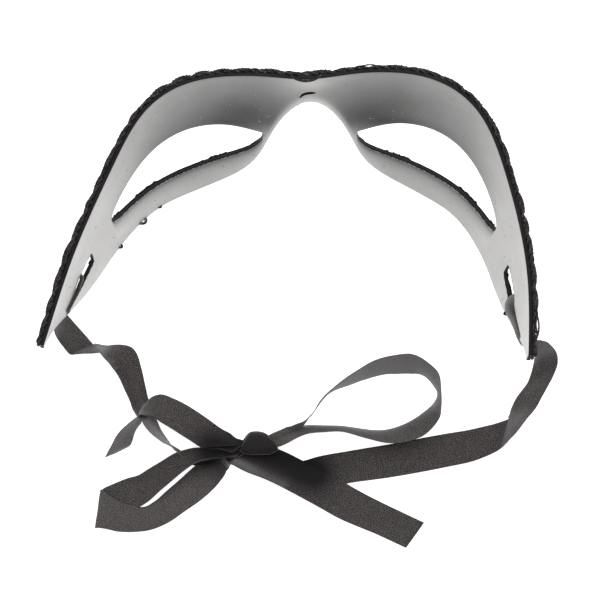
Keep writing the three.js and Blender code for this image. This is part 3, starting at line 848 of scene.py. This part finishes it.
def scallop_cord(at, span, bulge, lane, count, start):
    """One of the cords that lie side by side in a scallop."""
    points = []
    for k in range(SCALLOP_STEPS + 1):
        t = k / SCALLOP_STEPS
        a = at + span * t
        s = rim_place(a)
        rise = sin(pi * t) ** 0.5
        out = start + 0.5 + bulge * rise * (lane + 1) / SCALLOP_LANES + 0.16 * wander(a * 1.9, lane)
        up = 0.35 * rise * wander(count * 2.3, 8.1) - 0.16 * lane - 0.1 + 0.25 * wander(a * 1.6, lane + 5)
        points.append(face_point(s, BROW(abs(s)) + up, out))
    return cord_along(points, SCALLOP_RADIUS)


def scallop_stitch(at, span, bulge, k, count, start):
    """One of the stitches that tie a scallop's cords to the border."""
    t = k / STITCHES
    s = rim_place(at + span * t)
    reach = 0.5 + bulge * sin(pi * t) ** 0.5
    level = BROW(abs(s)) + 0.15
    slant = 0.003 if (k + count) % 2 else -0.003
    foot = face_point(s, level - 0.3, start + 0.3)
    middle = face_point(s + slant, level, start + reach * 0.6)
    tip = face_point(s + 2 * slant, level - 0.5, start + reach)
    return cord_along([foot, middle, tip], STITCH_RADIUS)


def scallop_cords(start):
    """The border's scallops, each of its own length and fullness. In two places only loose cords are left."""
    cords = []
    at = SCALLOPS_LEFT * HALF_LENGTH
    count = 0
    while at < SCALLOPS_RIGHT * HALF_LENGTH:
        span = 7.6 + 3.4 * wander(count * 3.7, 0.5)
        bulge = 1.0 + 0.7 * wander(count * 1.9, 4.2)
        middle = (at + span / 2) / HALF_LENGTH
        loose = any(abs(middle - place) < 0.03 for place in LOOSE_SCALLOPS)
        if loose or FULL_SCALLOPS[0] < middle < FULL_SCALLOPS[1]:
            bulge += 0.35
        for lane in range(3 if loose else 0, SCALLOP_LANES):
            cords.append(scallop_cord(at, span, bulge, lane, count, start))
        for k in range(1, 2 if loose else STITCHES):
            cords.append(scallop_stitch(at, span, bulge, k, count, start))
        at += span
        count += 1
    return cords


def nose_cords(start):
    """The bundle of cords that sags behind the border over the nose."""
    cords = []
    for lane in range(5):
        points = []
        for k in range(15):
            sag = sin(pi * (k / 14))
            s = NOSE_LEFT + NOSE_SPAN * (k / 14)
            level = BROW(abs(s)) + 0.25 - (0.25 + 0.28 * lane) * sag
            points.append(face_point(s, level, start - 0.4 - 1.5 * sag**0.4))
        cords.append(cord_along(points, NOSE_RADIUS))
    return cords


def stray_cords():
    """The stray loops under the lower edge, each a loop within a loop."""
    cords = []
    for s, reach, half in STRAY_LOOPS:
        low = max(CHEEK(abs(s)), 0.0) + 0.6
        for share in (1.0, 0.65):
            points = []
            for k in range(13):
                angle = pi * k / 12
                out = 1.2 - (1.2 + reach * share) * sin(angle)
                points.append(face_point(s + half * share * cos(angle) / HALF_LENGTH, low, out))
            cords.append(cord_along(points, STRAY_RADIUS))
    return cords


def cord_along(points, radius):
    """A curve object through those points, bevelled to that radius in millimetres."""
    curve = bpy.data.curves.new("cord", "CURVE")
    curve.dimensions = "3D"
    curve.bevel_depth = radius * MM
    curve.bevel_resolution = 1
    curve.use_fill_caps = True
    spline = curve.splines.new("POLY")
    spline.points.add(len(points) - 1)
    for point, place in zip(spline.points, points):
        point.co = (*place, 1)
    return new_object("cord", curve)


def join_as_mesh(things, name, material):
    """Curves and meshes joined into one mesh object."""
    depsgraph = bpy.context.evaluated_depsgraph_get()
    bm = bmesh.new()
    for thing in things:
        mesh = bpy.data.meshes.new_from_object(thing.evaluated_get(depsgraph))
        bm.from_mesh(mesh)
        bpy.data.meshes.remove(mesh)
        bpy.data.objects.remove(thing)
    for face in bm.faces:
        face.smooth = True
        face.material_index = 0
    bmesh.ops.remove_doubles(bm, verts=bm.verts, dist=1e-7)
    bmesh.ops.recalc_face_normals(bm, faces=bm.faces)
    return finish_mesh(bm, name, material)


# Ribbons


def pleat_angle(share_open):
    """How steep the pleats are when the ribbon keeps that share of its width."""
    low, high = 0.0, 2.2
    for _ in range(24):
        angle = (low + high) / 2
        kept = 1 - angle**2 / 4 + angle**4 / 64 - angle**6 / 2304
        low, high = (angle, high) if kept > share_open else (low, angle)
    return low


def pleated(share_open, folds, count):
    """Cross-section of a ribbon from -1 to 1 across, as places and heights."""
    angle = pleat_angle(share_open)
    spots = [(0.0, 0.0)]
    for i in range(count):
        turn = angle * cos(pi * folds * (i + 0.5) / count)
        x, y = spots[-1]
        spots.append((x + 2 / count * cos(turn), y + 2 / count * sin(turn)))
    middle = spots[-1][0] / 2
    level = sum(y for _, y in spots) / len(spots)
    return [(x - middle, y - level) for x, y in spots]


def through(points, t):
    """A point on a smooth curve through all points, t from 0 to 1."""
    place = min(t, 1 - 1e-9) * (len(points) - 1)
    i = int(place)
    f = place - i
    b, c = points[i], points[i + 1]
    a = points[i - 1] if i else b + (b - c)
    d = points[i + 2] if i + 2 < len(points) else c + (c - b)
    return 0.5 * (
        2 * b + (c - a) * f + (2 * a - 5 * b + 4 * c - d) * f**2 + (3 * b - 3 * c + d - a) * f**3
    )


def ribbon_lines(stations):
    """Centres in metres, unit widths and open shares of the stations, each as a vector."""
    centres, widths, opens = [], [], []
    for x, y, z, compass, tilt, share in stations:
        a, e = radians(compass), radians(tilt)
        centres.append(part_place((x, y, z)))
        widths.append(Vector((cos(e) * cos(a), cos(e) * sin(a), sin(e))))
        opens.append(Vector((share, 0, 0)))
    return centres, widths, opens


def knot_turn(level, deep, high, start):
    """Stations of one turn of ribbon round the knot, with its end tucked under its start."""
    x, y = KNOT_CENTRE
    turn = []
    for i in range(KNOT_STATIONS):
        angle = start + 2 * pi * i / KNOT_ROUND
        up, out = sin(angle), cos(angle)
        tuck = 1 - 0.012 * i
        place = (x + 0.5 * up, y + deep * tuck * out, level + high * tuck * up)
        turn.append((*place, -5 - 4 * out, 0, 0.95 - 0.2 * out))
    return turn


def closeness(place, start, end, reach):
    """How close a place of the part is to the line between two points of the layout, from 0 to 1."""
    first, last = part_place(start), part_place(end)
    line = last - first
    share = min(1.0, max(0.0, (place - first).dot(line) / line.length_squared))
    return fading((place - first - line * share).length, reach * MM)


def shade_ribbon(bm, painted_light_share):
    """Stores painted light where the ribbon is steep or curls up, and painted shade near the knot, on each
    vertex, and lifts the strip that curls up.
    """
    bm.normal_update()
    steep = bm.verts.layers.float.new("steep")
    knot_shade = bm.verts.layers.float.new("knot_shade")
    for v in bm.verts:
        near = closeness(v.co, KNOT_SHADE_START, KNOT_SHADE_END, KNOT_SHADE_REACH)
        low = v.co.z < CURL_CEILING * MM
        curl = closeness(v.co, CURL_START, CURL_END, CURL_REACH) if low else 0.0
        # Painted light where the ribbon stands steep, and on the strip that curls up.
        v[steep] = max(painted_light_share * (1 - abs(v.normal.z)), 0.6 * min(1.0, 1.4 * curl))
        # Painted shade near the knot, darker the lower it lies; with no painted light the knot is shaded all
        # over.
        shaded = min(1.0, 1.5 * near * (1 - v.co.z / (KNOT_SHADE_CEILING * MM))) * (1 - min(1.0, 1.2 * curl))
        v[knot_shade] = max(shaded, 0.85 * (1 - painted_light_share))
        v.co.z += CURL_LIFT * MM * curl


def make_ribbon(stations, name, sizes, folds=1.0, face_side=-1, arch=0.0, painted_light_share=1.0):
    """A flat ribbon through its stations. Returns the piece and its centre line.

    The face side says which side of the ribbon is its face, arch how far its edges curl back, and the share
    of painted light how much it is painted lighter where it stands on edge; with none it is painted in shade
    all over. Near the knot its colour takes painted shade.
    """
    centres, widths, opens = ribbon_lines(stations)
    steps = (len(stations) - 1) * STATION_STEPS
    path, length, sections, stretch = [], [0.0], [], []
    for i in range(steps + 1):
        path.append(through(centres, i / steps))
        share = max(through(opens, i / steps).x, LEAST_SHARE)
        sections.append(pleated(min(share, 1.0), folds, RIBBON_CELLS))
        stretch.append(max(share, 1.0))
        if i:
            length.append(length[-1] + (path[-1] - path[-2]).length)
    bm = bmesh.new()
    uv = bm.loops.layers.uv.new("Ribbon")
    across = bm.verts.layers.float.new("across")
    along = bm.verts.layers.float.new("along")
    bmesh.ops.create_grid(bm, x_segments=steps, y_segments=RIBBON_CELLS, size=1.0)
    half = sizes.width * MM / 2
    for v in bm.verts:
        i = round((v.co.x + 1) / 2 * steps)
        k = round((v.co.y + 1) / 2 * RIBBON_CELLS)
        before, after = path[max(i - 1, 0)], path[min(i + 1, steps)]
        way = (after - before).normalized()
        width = through(widths, i / steps).normalized()
        up = way.cross(width).normalized()
        side, lift = sections[i][k]
        v[across] = v.co.y * half
        v[along] = length[i]
        wave = UNEVEN * noise.noise(Vector((length[i] * 90, v.co.y * 1.3, steps))) - arch * abs(v.co.y) ** 4
        v.co = path[i] + width * half * side * stretch[i] + up * (half * lift * PLEAT_LIFT + wave * MM)
        v.co.z = max(v.co.z, sizes.thick * MM * 0.6)
    for face in bm.faces:
        face.smooth = True
        for loop in face.loops:
            loop[uv].uv = (loop.vert[across], loop.vert[along])
    shade_ribbon(bm, painted_light_share)
    if face_side < 0:
        bmesh.ops.reverse_faces(bm, faces=bm.faces)
    piece = finish_mesh(bm, name, *ribbon_cloth(sizes))
    solid = piece.modifiers.new("Thickness", "SOLIDIFY")
    solid.thickness = sizes.thick * MM
    solid.offset = 0.0
    solid.material_offset = 1
    settle(piece)
    return piece, path


# What each piece is


def declare(piece, path, nodes=()):
    """Puts the ribbon on the mask's body, and hides the CAD nodes it stands for."""
    place_piece(piece, "ribbon", *nodes)
    length = sum((b - a).length for a, b in zip(path, path[1:]))
    tuple(path[0])
    [tuple(p) for p in path]


def place_piece(piece, slot, *nodes):
    """Puts a finished piece on the mask's body."""
    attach(piece, "root")
    if nodes:
        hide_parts(*nodes)


# Stage


def aim(thing, place, way):
    """Puts a camera or a lamp at a place, looking along a direction."""
    thing.location = place
    thing.rotation_mode = "QUATERNION"
    thing.rotation_quaternion = way.to_track_quat("-Z", "Y")


def add_camera(scene):
    """The camera, placed as the mask was seen."""
    camera = bpy.data.cameras.new("Camera")
    camera.lens = CAMERA_LENS
    camera.sensor_width = 36.0
    camera.clip_start = 0.01
    eye = new_object("Camera", camera)
    yaw, rise = radians(CAMERA_YAW), radians(CAMERA_ELEVATION)
    back = Vector((sin(yaw) * cos(rise), -cos(yaw) * cos(rise), sin(rise)))
    aim(eye, (Vector(CAMERA_TARGET) + back * CAMERA_DISTANCE) * MM, -back)
    roll = Quaternion((0, 0, 1), radians(CAMERA_ROLL))
    eye.rotation_quaternion = eye.rotation_quaternion @ roll
    scene.camera = eye
    scene.view_settings.view_transform = "Standard"


def add_floor(look):
    """The pale floor, which gives off some light."""
    bm = bmesh.new()
    bmesh.ops.create_grid(bm, x_segments=1, y_segments=1, size=FLOOR_HALF)
    material, _, shader = new_material("Pale floor")
    fill(shader, {"Base Color": (look.floor, look.floor, look.floor, 1), "Roughness": 0.9})
    fill(shader, {"Emission Color": (1, 1, 1, 1), "Emission Strength": look.glow})
    floor = finish_mesh(bm, "floor", material)


def add_light(scene, look):
    """Soft light from all round, weaker on the wearer's side, and the lamps."""
    world = bpy.data.worlds.new("Studio")
    world.use_nodes = True
    tree = world.node_tree
    way = add_node(tree, "TexCoord").outputs["Generated"]
    ahead = add_node(tree, "SeparateXYZ", {0: way}).outputs["Y"]
    strength = ranged(tree, ahead, -1.0, 1.0, look.back * look.sky, look.sky)
    fill(tree.nodes["Background"], {"Color": (1, 1, 1, 1), "Strength": strength})
    scene.world = world
    for name, place, size, power in LAMPS:
        lamp = bpy.data.lights.new(name, "AREA")
        lamp.size = size
        lamp.energy = power
        aim(new_object(name, lamp), place, -Vector(place))


class MASK_OT_stage(bpy.types.Operator):
    """Add the camera, the floor and the studio light"""

    bl_idname = "mask.stage"
    bl_label = "Stage"

    def execute(self, context):
        add_camera(context.scene)
        add_floor(context.scene.mask_stage)
        add_light(context.scene, context.scene.mask_stage)
        return {"FINISHED"}


class MASK_OT_shell(bpy.types.Operator):
    """Add the moulded shell"""

    bl_idname = "mask.shell"
    bl_label = "Moulded shell"

    def execute(self, context):
        sizes = context.scene.mask_sizes
        black = paint_material(sizes)
        bm, along, height = face_sheet(SHELL_CELLS, 0.0)
        thicken(bm, along, height, 0.0, lambda s, z: sizes.shell)
        # Painted shade and painted light of the inside, stored on the shell's vertices.
        write_layer(bm, "tone", painted_inside_shading)
        piece = finish_mesh(bm, "shell", inside_material(sizes), black)
        cut_slots(piece, 0.0, black)
        cut_crease(piece, black)
        place_piece(piece, "moulded_shell", "mask_shell")
        return {"FINISHED"}


class MASK_OT_lace(bpy.types.Operator):
    """Add the lace cover and its corded rim"""

    bl_idname = "mask.lace"
    bl_label = "Lace cover"

    def execute(self, context):
        sizes = context.scene.mask_sizes
        start = sizes.shell + GAP
        thread = lace_material(sizes, "Black lace cords", 8.0)
        cloth = lace_material(sizes, "Black lace", 3.2, patterned=True)

        def outside(s, z):
            return start + sizes.net + sizes.relief * lace_height(s, z)

        bm, along, height = face_sheet(LACE_CELLS, LACE_MARGIN)
        thicken(bm, along, height, start, outside)
        write_layer(bm, "raised", lace_height)
        cover = finish_mesh(bm, "lace", cloth, cloth)
        cut_slots(cover, LACE_SLOT_MARGIN, cloth)
        place_piece(cover, "black_lace", "lace_cover")

        strands = braid_cords(start) + scallop_cords(start) + nose_cords(start) + stray_cords()
        braid = join_as_mesh(strands, "rim_braid", thread)
        place_piece(braid, "black_lace")
        return {"FINISHED"}


class MASK_OT_straps(bpy.types.Operator):
    """Add both ribbons from their slots to the knot, with the knot"""

    bl_idname = "mask.straps"
    bl_label = "Straps and knot"

    def execute(self, context):
        sizes = context.scene.mask_ribbon
        # The knot's turns take no painted light and are painted in shade all over.
        turn = knot_turn(4.5, 4.1, 3.9, -1.9)
        wrap, _ = make_ribbon(turn, "knot_wrap", sizes, face_side=1, arch=1.5, painted_light_share=0.0)
        turn = knot_turn(4.2, 2.8, 2.6, 2.0)
        core, _ = make_ribbon(turn, "knot_core", sizes, folds=3.0, face_side=1, arch=0.6, painted_light_share=0.0)
        place_piece(wrap, "ribbon", "bow_knot")
        place_piece(core, "ribbon")
        left, path = make_ribbon(LEFT_STRAP, "left_strap", sizes, folds=3.0)
        declare(left, path, ["ribbon_left_strap"])
        right, path = make_ribbon(RIGHT_STRAP, "right_strap", sizes, face_side=1)
        declare(right, path, ["ribbon_right_strap"])
        return {"FINISHED"}


class MASK_OT_bow(bpy.types.Operator):
    """Add both loops of the bow with the free ends they run on into"""

    bl_idname = "mask.bow"
    bl_label = "Bow"

    def execute(self, context):
        sizes = context.scene.mask_ribbon
        upper, path = make_ribbon(UPPER_LOOP_AND_LEFT_END, "upper_loop_and_left_end", sizes)
        declare(upper, path, nodes=["bow_upper_loop", "bow_left_tail"])
        lower, path = make_ribbon(LOWER_LOOP_AND_RIGHT_END, "lower_loop_and_right_end", sizes)
        declare(lower, path, nodes=["bow_lower_loop", "bow_right_tail"])
        return {"FINISHED"}


class MASK_PT_pieces(bpy.types.Panel):
    """The mask's pieces, in the sidebar"""

    bl_label = "Domino mask"
    bl_idname = "MASK_PT_pieces"
    bl_space_type = "VIEW_3D"
    bl_region_type = "UI"
    bl_category = "Mask"

    def draw(self, context):
        layout = self.layout
        for operator in OPERATORS:
            layout.operator(operator.bl_idname)
        for group, kind in GROUPS.items():
            box = layout.box()
            for name in kind.__annotations__:
                box.prop(getattr(context.scene, group), name)


OPERATORS = (MASK_OT_stage, MASK_OT_straps, MASK_OT_bow, MASK_OT_shell, MASK_OT_lace)
GROUPS = {"mask_sizes": MaskSizes, "mask_ribbon": RibbonSizes, "mask_stage": StageLook}
CLASSES = (*GROUPS.values(), *OPERATORS, MASK_PT_pieces)


def register():
    for cls in CLASSES:
        bpy.utils.register_class(cls)
    for name, group in GROUPS.items():
        setattr(bpy.types.Scene, name, bpy.props.PointerProperty(type=group))


def unregister():
    for name in GROUPS:
        delattr(bpy.types.Scene, name)
    for cls in reversed(CLASSES):
        bpy.utils.unregister_class(cls)


def main():
    """Builds every piece in order."""
    register()
    bpy.ops.mask.stage()
    bpy.ops.mask.straps()
    bpy.ops.mask.bow()
    bpy.ops.mask.shell()
    bpy.ops.mask.lace()


if __name__ == "__main__":
    main()
